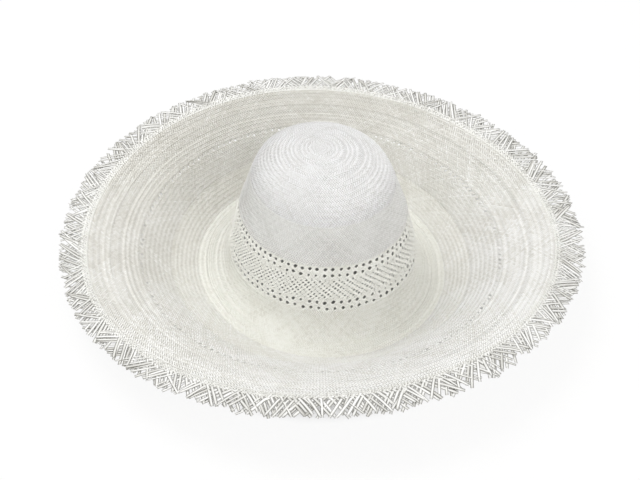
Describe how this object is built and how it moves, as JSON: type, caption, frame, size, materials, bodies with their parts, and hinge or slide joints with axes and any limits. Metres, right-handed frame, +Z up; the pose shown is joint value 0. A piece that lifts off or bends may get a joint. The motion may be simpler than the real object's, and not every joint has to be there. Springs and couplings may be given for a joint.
{
  "type": "panama hat",
  "caption": "Wide-brimmed woven straw sun hat with a rounded crown, an openwork band above the brim, a rising wavy brim and a frayed rim",
  "frame": {"origin": "on the table under the middle of the hat", "axes": "+Z is up through the crown, -Y is the front of the hat, +X is to the wearer's left"},
  "size_m": [0.4816, 0.4841, 0.1354],
  "materials": {
    "crown_straw": "matte",
    "openwork_straw": "matte",
    "brim_straw": "matte",
    "selvedge_straw": "matte",
    "fringe_straw": "matte",
    "sweatband_cloth": "matte"
  },
  "bodies": {
    "root": {"crown_rosette": "crown_straw", "crown_tip": "crown_straw", "crown_shoulder": "crown_straw", "crown_side": "crown_straw", "upper_eyelet_course": "openwork_straw", "lattice_course": "openwork_straw", "lower_eyelet_course": "openwork_straw", "crown_collar": "brim_straw", "brim_break_course": "brim_straw", "brim_inner_course": "brim_straw", "brim_outer_course": "brim_straw", "selvedge_course": "selvedge_straw", "fringe_right_lay": "fringe_straw", "fringe_left_lay": "fringe_straw", "sweatband": "sweatband_cloth", "sweatband_joint_tab": "sweatband_cloth"}
  },
  "joints": []
}
